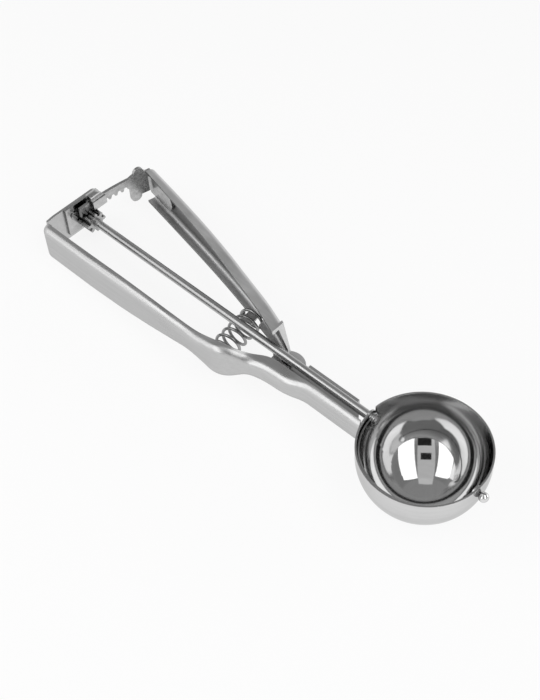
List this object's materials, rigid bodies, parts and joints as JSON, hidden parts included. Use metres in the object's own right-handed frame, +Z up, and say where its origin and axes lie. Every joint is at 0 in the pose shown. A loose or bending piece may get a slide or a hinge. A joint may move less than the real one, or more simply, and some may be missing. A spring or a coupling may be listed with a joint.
{
  "type": "ice cream scoop",
  "caption": "Lever ice cream scoop in stainless steel: round bowl with a sweeping scraper, driven by a rack and pinion from a sprung squeeze handle.",
  "frame": {"origin": "centre of the bounding box on the surface that the scoop lies on", "axes": "+X from the bowl towards the end of the handles, +Y towards the fixed handle, +Z up; the scoop lies on the bowl and the heel of the fixed handle, so its shaft tips down by about 5 degrees towards +X"},
  "size_m": [0.242, 0.0656, 0.0357],
  "materials": {
    "bowl_steel": "polished",
    "rivet_steel": "polished",
    "bush_steel": "satin",
    "blade_steel": "polished",
    "shaft_steel": "drawn and polished",
    "gear_steel": "satin",
    "rack_steel": "satin",
    "handle_steel": "polished",
    "lever_steel": "polished",
    "guide_steel": "satin",
    "spring_steel": "drawn wire"
  },
  "bodies": {
    "frame": {"handle": "handle_steel", "bowl": "bowl_steel", "bowl_pivot_rivet": "rivet_steel", "front_bush": "bush_steel", "lever_pivot_rivet": "rivet_steel", "rack_guide": "guide_steel", "guide_rivets": "rivet_steel", "rear_bush": "bush_steel", "return_spring": "spring_steel"},
    "lever": {"lever": "lever_steel", "rack": "rack_steel"},
    "shaft": {"drive_shaft": "shaft_steel", "pinion": "gear_steel", "scraper_blade": "blade_steel", "scraper_washer": "bush_steel", "end_washer": "bush_steel"}
  },
  "joints": [
    {"name": "lever_squeeze", "type": "hinge", "parent": "frame", "child": "lever", "pos_m": [-0.01431, 0.0048, 0.01531], "axis": [0.0889, 0, 0.996], "range_deg": [0, 6.25], "stiffness_Nm_per_rad": 1, "springref_deg": -11.46, "deforming": ["return_spring"]},
    {"name": "scraper_sweep", "type": "hinge", "parent": "frame", "child": "shaft", "pos_m": [-0.08898, 0.0048, 0.028], "axis": [-0.996, 0, 0.0889], "range_deg": [0, 174]}
  ],
  "couplings": [
    {"joint": "scraper_sweep", "follows": "lever_squeeze", "ratio": 27.826}
  ]
}
